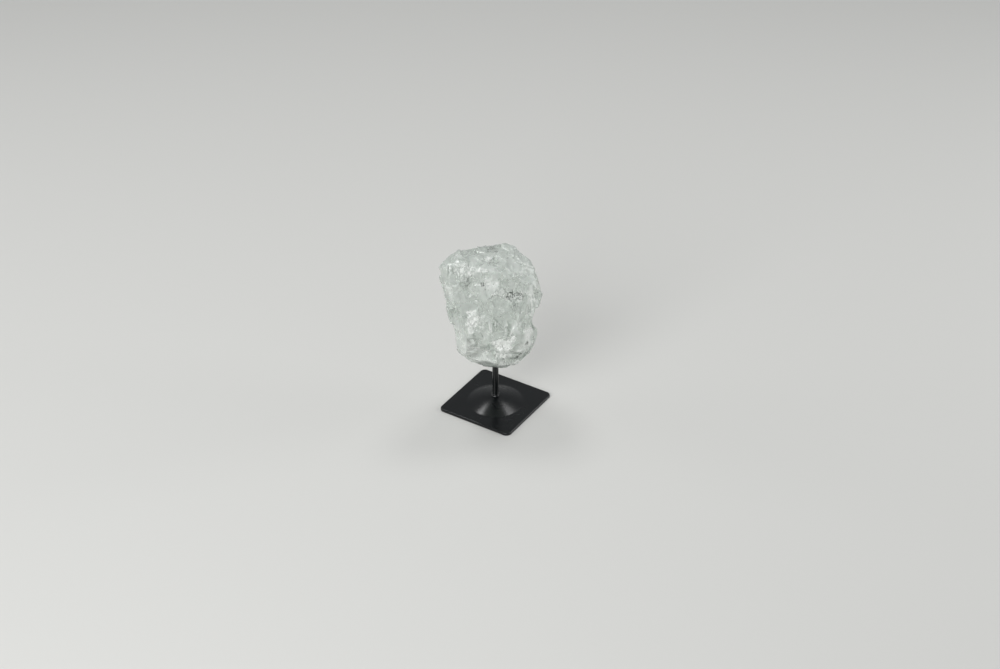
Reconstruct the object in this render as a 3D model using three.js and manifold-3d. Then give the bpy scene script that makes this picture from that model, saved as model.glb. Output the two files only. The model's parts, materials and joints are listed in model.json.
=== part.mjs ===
// A rough quartz crystal on a black steel pin stand. Millimetres, +Z up, origin on the pin's axis
// at the level of the surface that the base stands on. The base's sides run along X and Y.
import * as THREE from "three";
import { ConvexGeometry } from "three/addons/geometries/ConvexGeometry.js";
import { mergeVertices } from "three/addons/utils/BufferGeometryUtils.js";
import Module from "manifold-3d";

// ---- Driving dimensions --------------------------------------------------------------------------
const BASE_SIDE = 60;
const BASE_CORNER = 4;
const SHEET = 2; // the base's thickness
const EDGE_ROUND = 0.8;
const DOME_RADIUS = 20.5;
const DOME_RISE = 5;
const DOME_POWER = 1.6; // 1 is a straight cone, 2 a round cap
const RIM_WALL = 2; // how much narrower the dome's hollow is than the dome
const HOLLOW_EDGE = 0.1; // the hollow's height at its rim
const DOME_SIDES = 40;
const PIN_RADIUS = 2.25;
const PIN_CHAMFER = 0.6;
const PIN_GAP = 0.3; // between the pin and whatever it stands in or carries
const PIN_TAIL = 0.8; // how far the pin's foot stands out under the dome
const WELD_WIDTH = 1.1;
const WELD_HEIGHT = 1.3;
const SOCKET_TOP = 45; // the blind end of the hole drilled in the crystal
const CRYSTAL_TURN = 32.5; // degrees from the base's side to the crystal's broad face

// ---- Making solids -------------------------------------------------------------------------------
const wasm = await Module();
wasm.setup();

// A closed three.js geometry, moved by a matrix, as a solid that can be cut and joined.
function solid(geometry, matrix = new THREE.Matrix4()) {
  const bare = geometry.index ? geometry.toNonIndexed() : geometry.clone();
  for (const name of Object.keys(bare.attributes)) {
    if (name !== "position") bare.deleteAttribute(name);
  }
  const merged = mergeVertices(bare.applyMatrix4(matrix), 1e-3);
  return new wasm.Manifold(
    new wasm.Mesh({
      numProp: 3,
      vertProperties: new Float32Array(merged.attributes.position.array),
      triVerts: new Uint32Array(merged.index.array),
    }),
  );
}

// A solid's surface in flat facets.
function geometryOf(made) {
  const mesh = made.getMesh();
  const geometry = new THREE.BufferGeometry();
  geometry.setAttribute("position", new THREE.BufferAttribute(new Float32Array(mesh.vertProperties), 3));
  geometry.setIndex(new THREE.BufferAttribute(new Uint32Array(mesh.triVerts), 1));
  const flat = geometry.toNonIndexed();
  flat.computeVertexNormals();
  return flat;
}

// Repeatable random numbers from 0 to 1.
function randomFrom(seed) {
  let state = seed;
  return () => {
    state = (state + 0x6d2b79f5) | 0;
    let t = Math.imul(state ^ (state >>> 15), 1 | state);
    t = (t + Math.imul(t ^ (t >>> 7), 61 | t)) ^ t;
    return ((t ^ (t >>> 14)) >>> 0) / 4294967296;
  };
}

// An upright round bar on the axis.
function bar(radius, low, high, sides = 24) {
  const upright = new THREE.CylinderGeometry(radius, radius, high - low, sides).rotateX(Math.PI / 2);
  return solid(upright.translate(0, 0, (low + high) / 2));
}

// A solid of revolution from [radius, height] points that start and end on the axis.
function turned(points, sides) {
  const outline = points.map(([radius, height]) => new THREE.Vector2(radius, height));
  return solid(new THREE.LatheGeometry(outline, sides).rotateX(Math.PI / 2));
}

// ---- The crystal -------------------------------------------------------------------------------
// One broken lump of quartz. Its own frame has x to the right across the broad face, y to the back
// and z up. It starts as a block with flat faces between these corners.
const CORNERS = [
  // the skyline, from the left shoulder over the top to the right flank
  [-39, -8, 123], [-27, 2, 130.5], [-10, 12, 127.5], [-2, 16, 126.3], [7, 17, 126.3], [14, 14, 125],
  [25, 6, 120], [29, 2, 111.5], [32.3, -2, 101.5], [33, -3, 96], [32, -4, 92],
  // the right lobe and the foot
  [28.5, -6, 70], [28.5, -7, 60], [26.3, -8, 53.5], [22, -8, 48.6], [16, -6, 39], [8, -3, 33], [2, -1, 32],
  [-9, -3, 34.3], [-17.5, -5, 40.4], [-23, -7, 46.3], [-27.2, -8, 52.6], [-32.5, -5, 73], [-35.5, -3, 94],
  [-38, -4, 105], [-39.5, -6, 116.5],
  // the broad face in front
  [-34, -15, 126], [-18, -17, 127.5], [2, -18, 124], [16, -16, 119], [26, -13, 111],
  [-31, -20, 108], [-22, -25, 90], [0, -28, 88], [18, -24, 92], [27, -16, 90],
  [-26, -18, 70], [-20, -26, 74], [4, -28, 76], [19, -24, 70], [25, -16, 62],
  [-20, -19, 56], [0, -20, 50], [16, -18, 54],
  // the back
  [-28, 14, 108], [-22, 24, 92], [0, 28, 104], [20.5, 26.5, 98], [25, 13, 84], [-24, 20, 70],
  [-4, 26, 68], [18, 22, 62], [-14, 16, 48], [8, 18, 44],
];

// The larger hollows that conchoidal breaks left: the middle of each rounded break, which lies outside
// the crystal, and its half-widths along x, y and z.
const BREAKS = [
  [40.5, -5, 79.5, 16, 26, 14.5], // the right flank, above the lobe
  [-41, -6, 62, 13.4, 22, 13.4], // the left flank, under the bump
  [-19, 8, 135.9, 8, 22, 9.5], // the notch beside the left shoulder
  [21.5, 9, 128.5, 8, 20, 8.2], // the notch in the right of the skyline
  [-62, -5, 92, 27, 27, 27],
  // in the broad face
  [-37, -19, 84, 11.5, 11.5, 16],
  [16.3, -29.8, 110.4, 14, 11, 10],
  [4, -26, 131, 9, 11, 11],
  [-14.8, -41.8, 48.4, 32, 26, 25],
  [-4, -30.2, 88, 2.2, 3.6, 9],
  [1.5, -30.2, 84, 2, 3.6, 8],
  // in the back and underneath
  [6, 50, 114, 34, 28, 26],
  [-34, 34, 82, 20, 20, 26],
  [14, 42, 62, 24, 22, 20],
  [38, 24, 112, 18, 20, 24],
  [-16, 14, 28, 16, 12, 14],
];
const FACET = 5.5; // the width of the small facets that a rounded break is made of

// Ledges: large flakes with a flat floor that dips into the crystal and ends in a step. Azimuth from
// the front towards the right and elevation of the place, seen from the middle, then the floor's
// length, width and dip, and the way that it falls, clockwise from up. Angles in degrees.
const LEDGES = [
  [-50, 50, 16, 22, 9, 0], // under the left shoulder
  [-24, -20, 14, 26, 8, 0], // the shaded step across the foot of the broad face
  [52, 26, 16, 34, 9, -80], // the steep strip on the right
  [12, -8, 17, 20, 6, 160],
  [-78, 20, 22, 24, 8, 100],
  [100, 40, 20, 30, 9, 20],
  [118, -30, 24, 26, 8, 200],
  [150, 22, 26, 34, 7, -60],
  [-170, -14, 26, 40, 8, 10],
  [-140, 34, 24, 30, 9, 120],
  [-112, -36, 20, 26, 8, -30],
  [172, 52, 18, 26, 8, 180],
  [-20, 74, 18, 20, 7, 250],
];
const MIDDLE = new THREE.Vector3(-3, 0, 82);
const FAR = 200; // further than any part of the crystal is from its middle
const PRISM = 25; // the height of the prisms that strike flakes off

// Chips: small flakes all over, of the same kind, with five-sided floors.
const CHIP_SEED = 8;
const CHIPS = 215;
const CHIP_LENGTH = [5, 15];
const CHIP_WIDTH = [1, 2]; // as a share of the length
const CHIP_DIP = [5, 13];
const GOLDEN_ANGLE = 137.5;

// A ball of flat facets, stretched to three half-widths.
function ball(centre, widths) {
  const round = new THREE.IcosahedronGeometry(1, Math.max(1, Math.round(Math.max(...widths) / FACET)));
  return solid(round, new THREE.Matrix4().makeScale(...widths).setPosition(...centre));
}

// The place where a ray from the middle leaves the surface, with z straight out of it and x along it,
// turned clockwise from up.
function placeOn(surface, azimuth, elevation, turn) {
  const [a, e, t] = [azimuth, elevation, turn].map(THREE.MathUtils.degToRad);
  const outward = new THREE.Vector3(Math.sin(a) * Math.cos(e), -Math.cos(a) * Math.cos(e), Math.sin(e));
  const start = MIDDLE.clone().addScaledVector(outward, FAR);
  const [hit] = new THREE.Raycaster(start, outward.negate()).intersectObject(surface);
  const normal = hit.face.normal;
  const along = new THREE.Vector3(0, 0, 1).projectOnPlane(normal).normalize().applyAxisAngle(normal, -t);
  return new THREE.Matrix4().makeBasis(along, normal.clone().cross(along), normal).setPosition(hit.point);
}

// The prism that strikes a flake off: its floor's middle is on the surface, and one end dips in.
function flake(surface, sides, azimuth, elevation, length, width, dip, fall) {
  const prism = new THREE.CylinderGeometry(1, 1, PRISM, sides, 1, false, Math.PI / sides);
  prism.rotateX(Math.PI / 2).translate(0, 0, PRISM / 2).scale(length, width / 2, 1);
  const slope = new THREE.Matrix4().makeRotationY(THREE.MathUtils.degToRad(dip));
  return solid(prism, placeOn(surface, azimuth, elevation, fall).multiply(slope));
}

function makeCrystal() {
  let block = solid(new ConvexGeometry(CORNERS.map((corner) => new THREE.Vector3(...corner))));
  for (const [x, y, z, ...widths] of BREAKS) {
    block = block.subtract(ball([x, y, z], widths));
  }
  let surface = new THREE.Mesh(geometryOf(block));
  for (const sizes of LEDGES) {
    block = block.subtract(flake(surface, 4, ...sizes));
  }
  surface = new THREE.Mesh(geometryOf(block));
  const random = randomFrom(CHIP_SEED);
  const between = ([low, high]) => low + (high - low) * random();
  for (let i = 0; i < CHIPS; i++) {
    const elevation = THREE.MathUtils.radToDeg(Math.asin(1 - (2 * i + 1) / CHIPS));
    const length = between(CHIP_LENGTH);
    const width = length * between(CHIP_WIDTH);
    const [dip, fall] = [between(CHIP_DIP), between([0, 360])];
    block = block.subtract(flake(surface, 5, GOLDEN_ANGLE * i, elevation, length, width, dip, fall));
  }
  return block.subtract(bar(PIN_RADIUS + PIN_GAP, 0, SOCKET_TOP));
}

// ---- The stand ---------------------------------------------------------------------------------
// Points [radius, height] on the dome, from a radius to the axis.
function domeProfile(from, heightAt, steps = 8) {
  return Array.from({ length: steps + 1 }, (_, i) => {
    const radius = from * (1 - i / steps);
    return [radius, heightAt(radius)];
  });
}

const domeHeight = (radius) => DOME_RISE * (1 - (radius / DOME_RADIUS) ** DOME_POWER);

function roundedSquare(side, corner) {
  const middle = side / 2 - corner;
  const shape = new THREE.Shape();
  shape.absarc(middle, middle, corner, 0, Math.PI / 2);
  shape.absarc(-middle, middle, corner, Math.PI / 2, Math.PI);
  shape.absarc(-middle, -middle, corner, Math.PI, Math.PI * 1.5);
  shape.absarc(middle, -middle, corner, Math.PI * 1.5, Math.PI * 2);
  return shape;
}

// A square of sheet steel with its upper edge rounded over and a hollow dome pressed up in its middle.
function makeBase() {
  const outline = roundedSquare(BASE_SIDE - 2 * EDGE_ROUND, BASE_CORNER - EDGE_ROUND);
  const flat = new THREE.ExtrudeGeometry(outline, {
    depth: SHEET,
    bevelSize: EDGE_ROUND,
    bevelThickness: EDGE_ROUND,
    bevelSegments: 3,
    curveSegments: 5,
  });
  const plate = solid(flat.translate(0, 0, -EDGE_ROUND));
  const below = solid(new THREE.BoxGeometry(2 * BASE_SIDE, 2 * BASE_SIDE, SHEET).translate(0, 0, -SHEET / 2));
  const over = domeProfile(DOME_RADIUS, (r) => SHEET + domeHeight(r));
  const dome = turned([[0, SHEET / 2], [DOME_RADIUS, SHEET / 2], ...over], DOME_SIDES);
  const inside = DOME_RADIUS - RIM_WALL;
  const drop = domeHeight(inside) - HOLLOW_EDGE;
  const under = domeProfile(inside, (r) => domeHeight(r) - drop * (r / inside) ** 2);
  const hollow = turned([[0, -SHEET], [inside, -SHEET], ...under], DOME_SIDES);
  const hole = bar(PIN_RADIUS + PIN_GAP, 0, 2 * DOME_RISE);
  return plate.subtract(below).add(dome).subtract(hollow).subtract(hole);
}

// A round steel rod with a bead of weld round it where it leaves the dome.
function makePin() {
  const weld = SHEET + domeHeight(PIN_RADIUS + PIN_GAP) + PIN_GAP;
  const top = SOCKET_TOP - PIN_GAP;
  return turned([
    [0, DOME_RISE - PIN_TAIL],
    [PIN_RADIUS, DOME_RISE - PIN_TAIL],
    [PIN_RADIUS, weld],
    [PIN_RADIUS + WELD_WIDTH, weld],
    [PIN_RADIUS + WELD_WIDTH * 0.45, weld + WELD_HEIGHT * 0.4],
    [PIN_RADIUS, weld + WELD_HEIGHT],
    [PIN_RADIUS, top - PIN_CHAMFER],
    [PIN_RADIUS - PIN_CHAMFER, top],
    [0, top],
  ], 24);
}

// ---- The assembly --------------------------------------------------------------------------------
function piece(name, made, color, roughness, metalness) {
  const material = new THREE.MeshStandardMaterial({ color, roughness, metalness });
  const mesh = new THREE.Mesh(geometryOf(made), material);
  mesh.name = name;
  return mesh;
}

const crystal = piece("quartz_crystal", makeCrystal(), 0xdce3dd, 0.3, 0);
crystal.rotation.z = THREE.MathUtils.degToRad(CRYSTAL_TURN);

const stand = new THREE.Group();
stand.add(crystal);
stand.add(piece("pin", makePin(), 0x0d0e0e, 0.35, 0));
stand.add(piece("base_plate", makeBase(), 0x0d0e0e, 0.35, 0));

export default stand;
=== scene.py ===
"""A rough quartz crystal on a black steel pin stand, in metres, +Z up."""
import json
from math import cos, hypot, pi, radians, sin

import bpy
from mathutils import Matrix, Vector, noise

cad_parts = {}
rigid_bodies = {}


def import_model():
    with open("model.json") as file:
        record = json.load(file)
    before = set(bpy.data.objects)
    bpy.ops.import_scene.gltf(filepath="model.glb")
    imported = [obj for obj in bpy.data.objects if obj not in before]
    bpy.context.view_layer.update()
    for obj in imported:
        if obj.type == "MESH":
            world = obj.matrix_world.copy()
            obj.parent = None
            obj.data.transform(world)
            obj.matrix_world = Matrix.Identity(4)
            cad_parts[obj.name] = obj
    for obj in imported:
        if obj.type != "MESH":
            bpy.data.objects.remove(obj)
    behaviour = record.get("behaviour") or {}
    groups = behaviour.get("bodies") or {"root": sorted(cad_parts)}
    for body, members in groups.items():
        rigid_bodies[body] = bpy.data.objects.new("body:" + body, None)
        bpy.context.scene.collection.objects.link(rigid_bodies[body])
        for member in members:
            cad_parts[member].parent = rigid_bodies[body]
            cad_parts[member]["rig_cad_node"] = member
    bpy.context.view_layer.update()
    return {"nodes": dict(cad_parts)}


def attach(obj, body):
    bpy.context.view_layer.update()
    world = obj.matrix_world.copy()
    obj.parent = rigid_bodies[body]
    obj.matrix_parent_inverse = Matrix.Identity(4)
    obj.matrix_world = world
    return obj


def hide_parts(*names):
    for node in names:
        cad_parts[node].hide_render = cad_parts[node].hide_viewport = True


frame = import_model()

# ---- The camera ----------------------------------------------------------------------------------
# It looks down on the stand over one corner of the base, from a metre and a half away. The object
# stands small in the middle of the picture, with room on all sides.
LENS = 70
CAMERA_AZIMUTH = radians(32.5)
CAMERA_ELEVATION = radians(34.24)
CAMERA_DISTANCE = 1.4222
AIM_HEIGHT = 0.002
AIM_RIGHT = 0.00332
AIM_UP = 0.04829

turn = Matrix.Rotation(CAMERA_AZIMUTH, 4, "Z")
tilt = Matrix.Rotation(pi / 2 - CAMERA_ELEVATION, 4, "X")
camera_data = bpy.data.cameras.new("camera")
camera_data.lens = LENS
camera = bpy.data.objects.new("camera", camera_data)
camera.matrix_world = Matrix.Translation((0, 0, AIM_HEIGHT)) @ turn @ tilt @ Matrix.Translation(
    (AIM_RIGHT, AIM_UP, CAMERA_DISTANCE))
bpy.context.scene.collection.objects.link(camera)
bpy.context.scene.camera = camera


# ---- The quartz crystal --------------------------------------------------------------------------
# One rough lump of translucent quartz, broken from a vein and left uncut. Its faces are breaks:
# some smooth and clear like ice, others crushed to a white, granular crust with pits between.
MM = 0.001
CRYSTAL_TURN = radians(32.5)  # from the base's side to the crystal's broad face
GRID = 0.4 * MM  # the squares of the mesh that the breaks are cut in
MOST_TRIANGLES = 190000
SHARP_EDGE = radians(14)  # what is sharper than this stays an edge
noise.seed_set(3)  # so that every run breaks the crystal in the same way


def select_only(obj):
    """Leaves one object selected, and makes it the active one."""
    bpy.ops.object.select_all(action="DESELECT")
    obj.select_set(True)
    bpy.context.view_layer.objects.active = obj


def apply_modifier(obj, kind, **settings):
    """Adds a modifier with its settings and applies it."""
    modifier = obj.modifiers.new(kind.lower(), kind)
    for name, value in settings.items():
        setattr(modifier, name, value)
    select_only(obj)
    bpy.ops.object.modifier_apply(modifier=modifier.name)


# the lump's main planes, as a fine and slightly softened mesh that is ready to be broken
select_only(frame["nodes"]["quartz_crystal"])
bpy.ops.object.duplicate()
crystal = bpy.context.active_object
crystal.name = crystal.data.name = "rough_quartz"
crystal.parent = None
del crystal["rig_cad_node"]
bpy.ops.object.mode_set(mode="EDIT")
bpy.ops.mesh.select_all(action="SELECT")
bpy.ops.mesh.remove_doubles(threshold=1e-6)
bpy.ops.object.mode_set(mode="OBJECT")
apply_modifier(crystal, "REMESH", mode="VOXEL", voxel_size=GRID)
apply_modifier(crystal, "SMOOTH", factor=0.5, iterations=3)

# Places on the crystal are in mm: x to the right across the broad face, y to the back and z up.
# Zones of the surface: x, y, z and radius, then how much whiter and how much rougher it is there. On the foot
# the whiter colour is painted light over its shade, and on the lobe and the strip at the right it is partly
# painted light from the right.
ZONES_WITH_PAINTED_LIGHT = [
    (-26, -5, 129, 12, 0.15, -0.6),  # the smooth left shoulder
    (-12, 6, 128, 9, 0, -0.4),
    (9, 5, 124, 12, 0.35, -0.5),  # the smooth right of the top
    (20, -3, 119, 9, 0.3, -0.4),
    (-24, -22, 100, 10, 0, -0.45),
    (-12, -24, 104, 8, -0.15, -0.3),
    (-13, -26, 76, 5, -0.2, -0.3),
    (20, -21, 90, 4, -0.1, -0.2),
    (4, -26, 90, 9, -0.4, -0.45),
    # the lobe low on the right: whiter, partly its own white and partly painted light from the right
    (24, -17, 75, 7, 1.5, -0.3),
    (21, -20, 63, 7, 1.0, -0.1),
    # painted light: these four zones whiten the downward-facing foot to lift the shade on it
    (-14, -15, 53, 13, 0.7, -0.9),  # the smooth face of the foot, whiter as painted light over the shade that falls on it
    (-22, -17, 62, 9, 0.5, -0.7),
    (-12, -10, 42, 10, 0.3, -0.7),
    (-16, -23, 69, 5.5, 0.6, -0.3),
    (-17.6, -24, 94, 3.5, 0.5, 0.8),  # the crushed triangle low on the left
    (-17.2, -25, 88, 4.5, 0.55, 0.8),
    (-17.3, -26, 81.5, 3, 0.45, 0.7),
    (6.7, -24.5, 66.5, 6, 0.75, 0.7),  # the crushed patch above the foot
    (2, -26, 71, 4.5, 0.6, 0.6),
    (11.5, -25.5, 72.5, 4, 0.6, 0.6),
    (6, -20, 57, 6, 0.4, 0.7),
    (-29, -14, 126.5, 3.5, 0.05, 0.3),  # the band of flecks under the left shoulder
    (-22, -15, 126, 5, 0.0, 0.4),
    (-14, -16, 125, 5, 0.1, 0.4),
    (-9, -16.5, 125.5, 3, 0.25, 0.4),
    (-5, -4, 126.6, 3.5, 0.5, 0.4),
    (0, -10.5, 125, 5, 0.2, 0.1),
    (-4, -20, 112, 10, 0, 0.3),
    (12, -20, 107, 9, 0, 0.4),
    # the strip down the right side: whiter, partly painted light from the right
    (27, -10, 106, 8, 0.45, -0.1),
    (26, -13, 97, 7, 0.45, -0.1),
    (12.5, -25.5, 83, 7, 0.05, 0.2),
    (9, -10, 42, 9, 0.35, 0.5),
    (2, -16.5, 48, 6, 0.35, 0.4),
]
# Where dark specks gather, partly dark grains and partly painted shade in small pits: x, y, z and radius,
# then how thick they lie.
SPECKS_AND_PIT_SHADE = [
    (11.5, -20.5, 106.6, 7, 1.3),
    (17.5, -19.5, 106, 6, 1.2),
    (14, -23, 99, 7, 1.15),
    # a small pit, its dark painted shade
    (-8.8, -20.2, 116.2, 2.6, 1.5),
    (-4, -20.5, 112, 7, 0.95),
    (-2, 8, 127, 9, 1.25),
    (22.2, -20, 66.8, 3, 1.6),
    (18, -16, 55, 3, 1.5),
    (15, -14.5, 49.5, 3.5, 1.75),
    (-20.5, -19, 117, 8, 1.1),
    (-35, -12, 112, 8, 1.05),
    (10, 24, 95, 9, 1.1),
    (-22, 18, 70, 8, 1.0),
]
# Where upright ridges run: x, y, z and radius. Below are their own width and length.
RIDGED = [
    (27, -11, 103, 9),
    (24.5, -16, 92, 6),
    (12.5, -25.5, 83, 8),
    (-2, -26.5, 85.5, 6),
    (-26, 10, 84, 12),
    (12, 22, 78, 12),
]
RIDGE_WIDE = 2.2
RIDGE_LONG = 14
# Where blows left curved ripples: the blow, which way they spread and how far, their wavelength.
STRUCK = [
    (Vector((1, 0, 128)), Vector((0, -1, 0)), 14, 2.3),
    (Vector((24, 30, 110)), Vector((-0.6, -0.2, -0.8)), 22, 2.8),
    (Vector((-36, 4, 124)), Vector((0, 0.4, -0.9)), 20, 2.4),
]
BLOW_HEIGHT = 0.13
# Each octave of scars: their width, how hollow they are, how far they lean, and their level.
WIDE = (13, 0.18, 0.36, 0.011)
MIDDLE = (5.0, 0.20, 0.46, -0.001)
SMALL = (2.0, 0.20, 0.55, -0.023)
STRAIN = 0.35  # how steeply a scar climbs where the next one begins
RIPPLED = 0.55  # a wide scar is rippled where its dice fall above this
LEDGED = 0.3  # and it has ledges where they fall below this
RIPPLE_HEIGHT = 0.09
LEDGE_HEIGHT = 0.14  # for each mm of a ledge's width
PROUDEST = 0.7
DEEPEST = 1.8
# The crystal isn't broken round the hole for the pin.
SOCKET_CLEAR = 4.0
SOCKET_HIGH = 50
# How white the quartz is all over, and how much each thing on it adds; the zone, edge and ridge shares are
# partly painted light and shade.
WHITE = 0.36
WHITER = {"zone": 0.26, "cloud": 0.06, "bruise_and_edge_highlight": 0.09, "veil": 0.07, "scar": 0.08, "ridge": 0.5, "blow": 0.7}
CENTRE = Vector((0.5, 0.5, 0.5))  # of three dice that each go from 0 to 1


def smooth_step(low, high, value):
    """From 0 at low to 1 at high, level at both ends."""
    t = min(max((value - low) / (high - low), 0), 1)
    return t * t * (3 - 2 * t)


def scar(point, size, hollow, lean, level):
    """A break made of shallow leaning bowls that meet in sharp ridges.

    Gives its height in mm, its bowl's centre and three dice, and how far the next ridge is.
    """
    place = point / size
    distances, centres = noise.voronoi(place)
    bowls = []
    for distance, centre in zip(distances[:3], centres):
        dice = noise.cell_vector(centre * 91.7)
        slope = (dice - CENTRE).dot(place - centre)
        strain = (distance - distances[0]) ** 2 / max(distances[3] - distance, 1e-6)
        height = hollow * distance * distance + 2 * lean * slope + STRAIN * strain
        bowls.append((height, centre * size, dice))
    bowls.sort(key=lambda bowl: bowl[0])
    lowest, centre, dice = bowls[0]
    return size * (lowest - level), centre, dice, size * (bowls[1][0] - lowest)


def ripple(point, centre, dice):
    """The curved ripples or the straight ledges that some of the wide scars carry."""
    if dice.y > RIPPLED:
        struck = centre + (dice - CENTRE) * 2.4 * WIDE[0]
        away = (point - struck).length + 0.6 * noise.noise(point / 4)
        wave = 1.3 + 1.8 * dice.x
        fade = smooth_step(0, 0.3, noise.noise(point / 7) + 0.3)
        return RIPPLE_HEIGHT * sin(2 * pi * away / wave) * fade
    if dice.y < LEDGED:
        across = Vector((cos(7 * dice.z), sin(7 * dice.z), 0.15))
        along = across.dot(point) + 1.2 * noise.noise(point / 8)
        wide = 1.2 + 1.6 * dice.x
        return LEDGE_HEIGHT * wide * (along / wide % 1)
    return 0


def blow(point):
    """The curved ripples that spread one way from the places where a hammer struck."""
    height = 0
    for struck, way, spread, wave in STRUCK:
        away = (point - struck).length
        fade = smooth_step(0.3, 0.5, away / spread) * (1 - smooth_step(0.7, 1, away / spread))
        fade *= smooth_step(0.55, 0.9, (point - struck).normalized().dot(way))
        if fade > 0:
            away += 0.8 * noise.noise(point / 4)
            height += BLOW_HEIGHT * fade * sin(2 * pi * away / wave)
    return height


def upright(point):
    """Upright ridges, from -0.4 in their troughs to 0.6, and nothing outside their zones."""
    share = 0
    for x, y, z, radius in RIDGED:
        away = (point - Vector((x, y, z))).length
        share = max(share, 1 - smooth_step(0.5 * radius, 1.2 * radius, away))
    if share == 0:
        return 0
    place = Vector((point.x / RIDGE_WIDE, point.y / RIDGE_WIDE, point.z / RIDGE_LONG))
    return share * (0.6 - min(2.6 * abs(noise.noise(place)), 1))


def specks_and_pit_shade_at(point):
    """How thick the dark specks lie at a point: dark grains, and painted shade in small pits."""
    thick = 0
    for x, y, z, radius, most in SPECKS_AND_PIT_SHADE:
        away = (point - Vector((x, y, z))).length
        thick = max(thick, most * (1 - smooth_step(0.4 * radius, radius, away)))
    return thick


def zone_with_painted_light_at(point):
    """How much whiter and rougher the quartz is at a point, the whiter partly painted light."""
    white = rough = 0
    warped = point + 2.2 * noise.noise_vector(point / 5)
    for x, y, z, radius, whiter, rougher in ZONES_WITH_PAINTED_LIGHT:
        away = (warped - Vector((x, y, z))).length
        near = 1 - smooth_step(0.6 * radius, 1.2 * radius, away)
        white += whiter * near
        rough += rougher * near
    return white, rough


def break_surface(obj):
    """Breaks the surface into scars, and notes how white, frosted, crushed and dark it is, the white and the
    dark partly painted light and shade.
    """
    to_crystal = Matrix.Rotation(-CRYSTAL_TURN, 3, "Z")
    places = [vertex.co.copy() for vertex in obj.data.vertices]
    normals = [vertex.normal.copy() for vertex in obj.data.vertices]
    moved = []
    looks = {"white": [], "frost": [], "crushed": [], "dark": []}
    for place, normal in zip(places, normals):
        at = place / MM
        point = to_crystal @ at
        zone, rough = zone_with_painted_light_at(point)
        grain = 0.35 + rough + 0.6 * noise.noise(point / 9 + Vector((7, 3, 1)))
        grain = min(max(grain, 0), 1.2)

        # the three octaves of scars, the finer ones stronger where the break is rough
        warped = point + 1.6 * noise.noise_vector(point / 7)
        wide, centre, dice, edge = scar(warped, *WIDE)
        warped = Vector((point.x, point.y, 0.7 * point.z)) + 0.7 * noise.noise_vector(point / 2.5)
        middle, _, middle_dice, middle_edge = scar(warped, *MIDDLE)
        small = scar(warped, *SMALL)[0]
        height = wide * (0.28 + 0.42 * grain) + middle * (0.1 + 0.55 * grain)
        height += small * smooth_step(0.3, 1, grain)

        # ripples and ledges, which end before the scar does and keep off smooth and crushed breaks
        height += (0.7 * ripple(point, centre, dice) * smooth_step(0, 1, edge)
                   * smooth_step(0, 0.3, grain) * (1 - smooth_step(0.4, 0.9, grain)))
        struck = blow(point)
        ridge = upright(point)
        height += struck + 0.5 * ridge
        keep = smooth_step(SOCKET_CLEAR, 2 * SOCKET_CLEAR, hypot(at.x, at.y))
        keep = max(keep, smooth_step(SOCKET_HIGH, SOCKET_HIGH + 5, at.z))
        depth = min(max(-height, -PROUDEST), DEEPEST)
        moved.extend(place - normal * depth * keep * MM)

        # white along the edges where scars meet, crushed and partly painted highlight, and in the veils and
        # clouds of old cracks
        bruise_and_edge_highlight = 1 - smooth_step(0, 0.3, edge)
        bruise_and_edge_highlight = max(bruise_and_edge_highlight, (1 - smooth_step(0, 0.25, middle_edge)) * min(grain + 0.2, 1))
        veil = abs(noise.noise(point / 11 + 0.5 * noise.noise_vector(point / 6)))
        seen = {
            "zone": zone,
            "cloud": noise.fractal(point / 14, 0.9, 2.1, 4),
            "bruise_and_edge_highlight": bruise_and_edge_highlight,
            "veil": 1 - smooth_step(0, 0.16, veil),
            "scar": middle_dice.z - 0.5,
            # lighter on the crests of the upright ridges and darker in their troughs: painted light and shade
            "ridge": ridge,
            "blow": struck,
        }
        looks["white"].append(sum((WHITER[name] * much for name, much in seen.items()), WHITE))
        looks["frost"].append(0.45 * dice.z + 0.55 * middle_dice.z)
        looks["crushed"].append(smooth_step(0.3, 1, grain))
        looks["dark"].append(specks_and_pit_shade_at(point))
    obj.data.vertices.foreach_set("co", moved)
    obj.data.update()
    for name, values in looks.items():
        obj.data.attributes.new(name, "FLOAT", "POINT").data.foreach_set("value", values)


break_surface(crystal)
triangles = 2 * len(crystal.data.polygons)
apply_modifier(crystal, "DECIMATE", ratio=min(MOST_TRIANGLES / triangles, 1))
select_only(crystal)
bpy.ops.object.shade_smooth_by_angle(angle=SHARP_EDGE)


def colour(code):
    """An sRGB hex colour as linear RGBA."""
    parts = [int(code[i:i + 2], 16) / 255 for i in (1, 3, 5)]
    return [c / 12.92 if c <= 0.04045 else ((c + 0.055) / 1.055) ** 2.4 for c in parts] + [1]


def add(tree, kind, inputs=None, **settings):
    """Adds a node. An input is a value or another node's output, which is linked."""
    node = tree.nodes.new(kind)
    for name, value in settings.items():
        setattr(node, name, value)
    for socket, value in (inputs or {}).items():
        if isinstance(value, bpy.types.NodeSocket):
            tree.links.new(value, node.inputs[socket])
        else:
            node.inputs[socket].default_value = value
    return node


def new_material(name):
    """A material without nodes yet, and its node tree."""
    material = bpy.data.materials.new(name)
    material.use_nodes = True
    material.node_tree.nodes.clear()
    return material, material.node_tree


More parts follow.
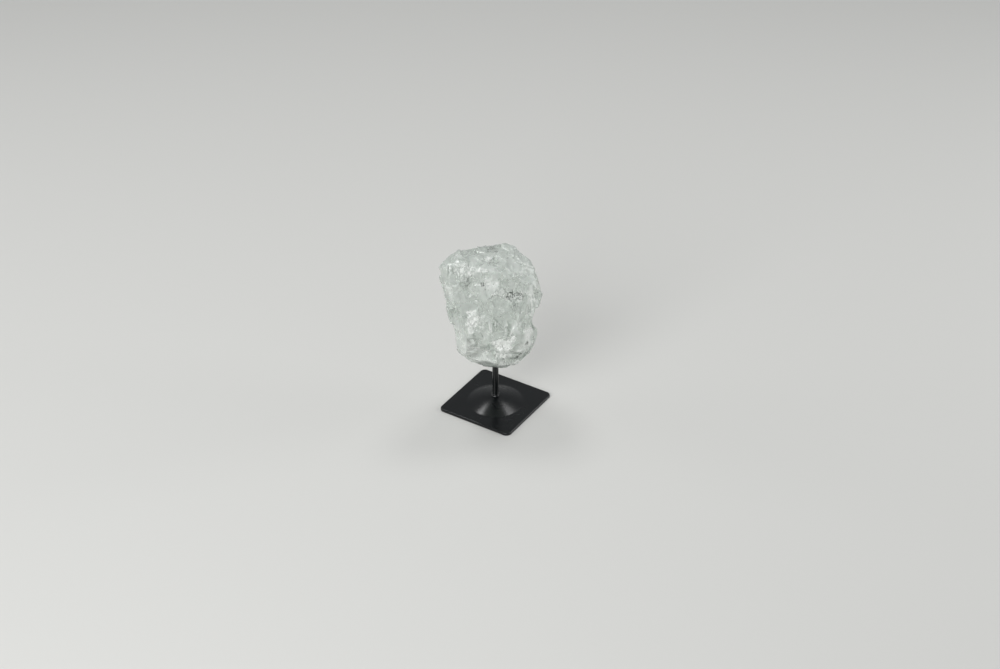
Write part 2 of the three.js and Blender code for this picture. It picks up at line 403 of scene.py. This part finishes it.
def rough_quartz():
    """Quartz, broken: clear inside, with a skin that goes from glassy to crushed and white."""
    material, tree = new_material("rough_quartz")
    place = add(tree, "ShaderNodeTexCoord").outputs["Object"]
    white = add(tree, "ShaderNodeAttribute", attribute_name="white").outputs["Fac"]
    frost = add(tree, "ShaderNodeAttribute", attribute_name="frost").outputs["Fac"]
    crushed = add(tree, "ShaderNodeAttribute", attribute_name="crushed").outputs["Fac"]
    dark = add(tree, "ShaderNodeAttribute", attribute_name="dark").outputs["Fac"]

    # white flecks a millimetre wide and two high, thick where it is crushed or white
    stretched = add(tree, "ShaderNodeMapping", {
        "Vector": place, "Scale": (1 / MM, 1 / MM, 0.5 / MM)}).outputs["Vector"]
    fleck = add(tree, "ShaderNodeTexNoise", {
        "Vector": stretched, "Scale": 1, "Detail": 5, "Roughness": 0.7}).outputs["Fac"]
    fleck = add(tree, "ShaderNodeMath", {0: crushed, 1: 0.16, 2: fleck}, operation="MULTIPLY_ADD")
    fleck = add(tree, "ShaderNodeMath", {0: white, 1: 0.2, 2: fleck.outputs[0]}, operation="MULTIPLY_ADD")
    fleck = add(tree, "ShaderNodeMapRange", {
        "Value": fleck.outputs[0], "From Min": 0.67, "From Max": 0.8}).outputs[0]

    # dark specks, a little finer, in their own places: dark grains, and painted shade in the pits
    speck = add(tree, "ShaderNodeTexNoise", {
        "Vector": stretched, "Scale": 1.2, "Detail": 5, "Roughness": 0.7}).outputs["Fac"]
    speck = add(tree, "ShaderNodeMath", {0: dark, 1: 0.25, 2: speck}, operation="MULTIPLY_ADD")
    speck = add(tree, "ShaderNodeMapRange", {
        "Value": speck.outputs[0], "From Min": 0.79, "From Max": 0.89}).outputs[0]

    # how white it is in all, with a fine grain that is strongest where it is crushed
    fine = add(tree, "ShaderNodeTexNoise", {
        "Vector": place, "Scale": 1 / (0.9 * MM), "Detail": 4, "Roughness": 0.75}).outputs["Fac"]
    fine = add(tree, "ShaderNodeMath", {0: fine, 1: 0.5}, operation="SUBTRACT").outputs[0]
    grain = add(tree, "ShaderNodeMath", {0: crushed, 1: 0.8, 2: 0.4}, operation="MULTIPLY_ADD").outputs[0]
    level = add(tree, "ShaderNodeMath", {0: fine, 1: grain, 2: white}, operation="MULTIPLY_ADD").outputs[0]
    level = add(tree, "ShaderNodeMath", {0: fleck, 1: 0.5, 2: level}, operation="MULTIPLY_ADD").outputs[0]

    # the whiter, the paler and the less clear; a speck is dark and dull, partly as painted shade in a pit
    skin = add(tree, "ShaderNodeValToRGB", {"Fac": level})
    skin.color_ramp.elements[0].position = 0.1
    skin.color_ramp.elements[0].color = colour("#d3dbd4")
    skin.color_ramp.elements[1].position = 0.9
    skin.color_ramp.elements[1].color = colour("#f6f8f5")
    # the speck colour: dark grains, and painted shade in the small pits under them
    speckled = add(tree, "ShaderNodeMix", {
        "Factor": speck, "A": skin.outputs["Color"], "B": colour("#50554f")}, data_type="RGBA")
    clear = add(tree, "ShaderNodeMapRange", {
        "Value": level, "From Min": 0.1, "From Max": 0.9, "To Min": 0.75, "To Max": 0.22}).outputs[0]
    clear = add(tree, "ShaderNodeMath", {0: speck, 1: -0.4, 2: clear}, operation="MULTIPLY_ADD")
    rough = add(tree, "ShaderNodeMapRange", {
        "Value": frost, "From Min": 0.25, "From Max": 0.75, "To Min": 0.1, "To Max": 0.38}).outputs[0]
    rough = add(tree, "ShaderNodeMath", {0: crushed, 1: 0.1, 2: rough}, operation="MULTIPLY_ADD")

    # grit where it is crushed, faint waves on the glassy scars, and a small pit under each speck
    grit = add(tree, "ShaderNodeTexNoise", {"Vector": place, "Scale": 1 / (0.5 * MM), "Detail": 3})
    grit = add(tree, "ShaderNodeMath", {0: grit.outputs["Fac"], 1: crushed}, operation="MULTIPLY")
    wave = add(tree, "ShaderNodeTexNoise", {"Vector": place, "Scale": 1 / (1.6 * MM), "Detail": 1})
    relief = add(tree, "ShaderNodeMath", {
        0: wave.outputs["Fac"], 1: 0.45, 2: grit.outputs[0]}, operation="MULTIPLY_ADD")
    relief = add(tree, "ShaderNodeMath", {0: speck, 1: -1.5, 2: relief.outputs[0]}, operation="MULTIPLY_ADD")
    bump = add(tree, "ShaderNodeBump", {
        "Height": relief.outputs[0], "Strength": 0.6, "Distance": 0.12 * MM})
    shader = add(tree, "ShaderNodeBsdfPrincipled", {
        "Base Color": speckled.outputs["Result"],
        "Roughness": rough.outputs[0],
        "Transmission Weight": clear.outputs[0],
        "IOR": 1.544,
        "Normal": bump.outputs["Normal"],
    })
    depth = add(tree, "ShaderNodeVolumeAbsorption", {"Color": colour("#cfdad2"), "Density": 6})
    add(tree, "ShaderNodeOutputMaterial", {"Surface": shader.outputs[0], "Volume": depth.outputs[0]})
    return material


crystal.data.materials.clear()
crystal.data.materials.append(rough_quartz())
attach(crystal, "root")
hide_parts("quartz_crystal")


# ---- The base plate ------------------------------------------------------------------------------
# A square of sheet steel with rounded corners, its edge filed over, and a shallow dome pressed up
# in its middle. Satin black stove enamel lies over it in one even coat.
BASE_SIDE = 60 * MM
BASE_CORNER = 4 * MM
SHEET = 2 * MM
EDGE_ROUND = 0.8 * MM
EDGE_STEPS = 5
DOME_RADIUS = 20.5 * MM
DOME_RISE = 5 * MM
DOME_POWER = 1.6  # 2 would be a round dome, and 1 a cone
DOME_SIDES = 96
DOME_STEPS = 20
CREASE = 0.5 * MM
PIN_RADIUS = 2.25 * MM
PIN_GAP = 0.3 * MM


def dome_height(radius):
    """How far the dome stands above the flat of the sheet."""
    return DOME_RISE * (1 - (radius / DOME_RADIUS) ** DOME_POWER)


def middle_of(mesh, part):
    """The middle of an edge's or a face's corners."""
    return sum((mesh.vertices[i].co for i in part.vertices), Vector()) / len(part.vertices)


def pick(obj, kind, test):
    """Selects the edges or faces whose middle passes the test. It ends in edit mode."""
    bpy.ops.object.mode_set(mode="EDIT")
    bpy.ops.mesh.select_mode(type=kind)
    bpy.ops.mesh.select_all(action="DESELECT")
    bpy.ops.object.mode_set(mode="OBJECT")
    mesh = obj.data
    for part in mesh.edges if kind == "EDGE" else mesh.polygons:
        part.select = test(middle_of(mesh, part))
    bpy.ops.object.mode_set(mode="EDIT")


def close_gap(obj, test):
    """Fills the flat gap between the open edges whose middle passes the test."""
    bpy.ops.mesh.select_mode(type="EDGE")
    bpy.ops.mesh.select_all(action="DESELECT")
    bpy.ops.mesh.select_non_manifold(use_wire=False, use_boundary=True, use_multi_face=False,
                                     use_non_contiguous=False, use_verts=False)
    bpy.ops.object.mode_set(mode="OBJECT")
    mesh = obj.data
    for edge in mesh.edges:
        edge.select = edge.select and test(middle_of(mesh, edge))
    bpy.ops.object.mode_set(mode="EDIT")
    bpy.ops.mesh.fill()


def rings(points, first):
    """Extrudes the selected ring through [radius, height] points, from a ring of the first one."""
    radius, height = first
    for next_radius, next_height in points:
        wider = next_radius / radius
        bpy.ops.mesh.extrude_region()
        bpy.ops.transform.resize(value=(wider, wider, 1), center_override=(0, 0, 0))
        bpy.ops.transform.translate(value=(0, 0, next_height - height))
        radius, height = next_radius, next_height


# the dome: its hollow from below, the hole for the pin, then its upper side and the flat round it
hole = PIN_RADIUS + PIN_GAP
inside = DOME_RADIUS - SHEET
steps = [hole + (DOME_RADIUS - hole) * i / DOME_STEPS for i in range(DOME_STEPS + 1)]
hollow = [(r, dome_height(r) - dome_height(inside) * (r / inside) ** 2)
          for r in reversed(steps) if r < inside]
dome = [(r, SHEET + dome_height(r)) for r in steps]
bpy.ops.object.select_all(action="DESELECT")
bpy.ops.mesh.primitive_circle_add(vertices=DOME_SIDES, radius=DOME_RADIUS, location=(0, 0, 0))
base = bpy.context.active_object
base.name = base.data.name = "black_base"
bpy.ops.object.mode_set(mode="EDIT")
bpy.ops.mesh.select_all(action="SELECT")
rings([(inside, 0)] + hollow + dome + [(DOME_RADIUS + 1.5 * MM, SHEET)], (DOME_RADIUS, 0))
bpy.ops.object.mode_set(mode="OBJECT")

# the edge of the sheet, which ends in a filed round
bpy.ops.object.select_all(action="DESELECT")
bpy.ops.mesh.primitive_plane_add(size=BASE_SIDE, location=(0, 0, 0))
rim = bpy.context.active_object
bpy.ops.object.mode_set(mode="EDIT")
bpy.ops.mesh.select_all(action="SELECT")
bpy.ops.mesh.bevel(offset=BASE_CORNER, offset_type="OFFSET", segments=12, affect="VERTICES")
bpy.ops.mesh.select_mode(type="FACE")
bpy.ops.mesh.select_all(action="SELECT")
bpy.ops.mesh.extrude_region_move(TRANSFORM_OT_translate={"value": (0, 0, SHEET - EDGE_ROUND)})
for i in range(EDGE_STEPS):
    low, high = pi / 2 * i / EDGE_STEPS, pi / 2 * (i + 1) / EDGE_STEPS
    bpy.ops.mesh.inset(thickness=EDGE_ROUND * (cos(low) - cos(high)))
    bpy.ops.transform.translate(value=(0, 0, EDGE_ROUND * (sin(high) - sin(low))))
bpy.ops.mesh.inset(thickness=0.6 * MM)
bpy.ops.mesh.delete(type="ONLY_FACE")
pick(rim, "FACE", lambda at: hypot(at.x, at.y) < 1 * MM)
bpy.ops.mesh.delete(type="ONLY_FACE")
bpy.ops.object.mode_set(mode="OBJECT")

# the two become one closed sheet, with a small round in the crease at the dome's foot
select_only(base)
rim.select_set(True)
bpy.ops.object.join()
bpy.ops.object.mode_set(mode="EDIT")
close_gap(base, lambda at: at.z > SHEET / 2)
close_gap(base, lambda at: at.z < SHEET / 2)
bpy.ops.mesh.select_all(action="SELECT")
bpy.ops.mesh.normals_make_consistent(inside=False)
pick(base, "EDGE", lambda at: abs(hypot(at.x, at.y) - DOME_RADIUS) < 0.05 * MM and at.z > SHEET - 0.1 * MM)
bpy.ops.mesh.bevel(offset=CREASE, segments=3, affect="EDGES")
bpy.ops.object.mode_set(mode="OBJECT")
select_only(base)
bpy.ops.object.shade_smooth_by_angle(angle=radians(30))


def black_enamel():
    """Satin black stove enamel: a little orange peel, and dust too fine to wipe off."""
    material, tree = new_material("satin_black_enamel")
    place = add(tree, "ShaderNodeTexCoord").outputs["Object"]
    peel = add(tree, "ShaderNodeTexNoise", {"Vector": place, "Scale": 1 / (0.8 * MM), "Detail": 2})
    smear = add(tree, "ShaderNodeTexNoise", {"Vector": place, "Scale": 1 / (14 * MM), "Detail": 4})
    gloss = add(tree, "ShaderNodeMapRange", {
        "Value": smear.outputs["Fac"], "From Min": 0.35, "From Max": 0.65, "To Min": 0.2, "To Max": 0.28})
    dust = add(tree, "ShaderNodeTexNoise", {"Vector": place, "Scale": 1 / (0.35 * MM), "Detail": 1})
    grains = add(tree, "ShaderNodeMapRange", {
        "Value": dust.outputs["Fac"], "From Min": 0.7, "From Max": 0.78})
    tint = add(tree, "ShaderNodeMix", {
        "Factor": grains.outputs[0], "A": colour("#0a0d0e"), "B": colour("#303436")}, data_type="RGBA")
    bump = add(tree, "ShaderNodeBump", {
        "Height": peel.outputs["Fac"], "Strength": 0.3, "Distance": 0.02 * MM})
    shader = add(tree, "ShaderNodeBsdfPrincipled", {
        "Base Color": tint.outputs["Result"],
        "Roughness": gloss.outputs[0],
        "IOR": 1.45,
        "Normal": bump.outputs["Normal"],
    })
    add(tree, "ShaderNodeOutputMaterial", {"Surface": shader.outputs[0]})
    return material


enamel = black_enamel()
base.data.materials.append(enamel)
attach(base, "root")
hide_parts("base_plate")


# ---- The pin -------------------------------------------------------------------------------------
# A round steel rod through the dome, with a small bead of weld round its foot, painted together
# with the base. Its upper end sits in a hole drilled into the crystal from below.
PIN_FOOT = 4.2 * MM
PIN_TOP = 44.7 * MM
PIN_CHAMFER = 0.6 * MM
WELD_WIDTH = 1.1 * MM
WELD_HEIGHT = 1.3 * MM
WELD_STEPS = 6
WELD_UNEVEN = 0.25 * MM

weld_low = SHEET + dome_height(hole) + PIN_GAP
bead = [(PIN_RADIUS + WELD_WIDTH * cos(pi / 2 * i / WELD_STEPS) ** 0.8,
         weld_low + WELD_HEIGHT * sin(pi / 2 * i / WELD_STEPS)) for i in range(WELD_STEPS)]
bpy.ops.object.select_all(action="DESELECT")
bpy.ops.mesh.primitive_circle_add(vertices=48, radius=PIN_RADIUS, fill_type="NGON", location=(0, 0, PIN_FOOT))
bpy.ops.object.transform_apply()
pin = bpy.context.active_object
pin.name = pin.data.name = "black_pin"
bpy.ops.object.mode_set(mode="EDIT")
bpy.ops.mesh.select_all(action="SELECT")
rings([(PIN_RADIUS, weld_low)] + bead + [
    (PIN_RADIUS, weld_low + 1.15 * WELD_HEIGHT),
    (PIN_RADIUS, PIN_TOP - PIN_CHAMFER),
    (PIN_RADIUS - PIN_CHAMFER, PIN_TOP),
], (PIN_RADIUS, PIN_FOOT))
bpy.ops.mesh.select_all(action="SELECT")
bpy.ops.mesh.normals_make_consistent(inside=False)
bpy.ops.object.mode_set(mode="OBJECT")

# the bead is a little uneven all round
for vertex in pin.data.vertices:
    out = Vector((vertex.co.x, vertex.co.y, 0))
    if out.length > PIN_RADIUS + 0.1 * MM:
        vertex.co -= out.normalized() * WELD_UNEVEN * (0.5 + noise.noise(vertex.co / (1.3 * MM)))
select_only(pin)
bpy.ops.object.shade_smooth_by_angle(angle=radians(35))
pin.data.materials.append(enamel)
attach(pin, "root")
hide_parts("pin")


# ---- The floor and the light ---------------------------------------------------------------------
# A plain pale table top that runs out of sight, and the soft boxes of a small studio: a wide one
# in front, one low at each side, and two small ones high at the back.
FLOOR_SIZE = 12
LIT_HEIGHT = 0.08  # the crystal's middle, which every soft box looks at

bpy.ops.mesh.primitive_plane_add(size=FLOOR_SIZE)
floor = bpy.context.active_object
floor.name = "floor"
table_top, tree = new_material("pale_table_top")
shader = add(tree, "ShaderNodeBsdfPrincipled", {
    "Base Color": colour("#cacac7"), "Roughness": 0.9, "Specular IOR Level": 0.2})
add(tree, "ShaderNodeOutputMaterial", {"Surface": shader.outputs[0]})
floor.data.materials.append(table_top)

world = bpy.data.worlds.new("studio")
world.use_nodes = True
world.node_tree.nodes["Background"].inputs["Color"].default_value = colour("#e4e6e8")
world.node_tree.nodes["Background"].inputs["Strength"].default_value = 0.4
bpy.context.scene.world = world


def soft_box(name, azimuth, elevation, distance, size, power):
    """A square light. Its azimuth counts from the camera's; degrees, metres and watts."""
    data = bpy.data.lights.new(name, "AREA")
    data.size = size
    data.energy = power
    light = bpy.data.objects.new(name, data)
    swing = Matrix.Rotation(CAMERA_AZIMUTH + radians(azimuth), 4, "Z")
    lift = Matrix.Rotation(pi / 2 - radians(elevation), 4, "X")
    back = Matrix.Translation((0, 0, distance))
    light.matrix_world = Matrix.Translation((0, 0, LIT_HEIGHT)) @ swing @ lift @ back
    bpy.context.scene.collection.objects.link(light)


soft_box("front", -28, 31, 1.4, 0.9, 14)
soft_box("left", -142, 64, 1.3, 0.35, 3.5)
soft_box("right", 142, 64, 1.3, 0.35, 3)
soft_box("left side", -100, 15, 1.3, 0.7, 3.5)
soft_box("right side", 95, 15, 1.3, 0.7, 5.5)
bpy.context.scene.view_settings.view_transform = "Standard"
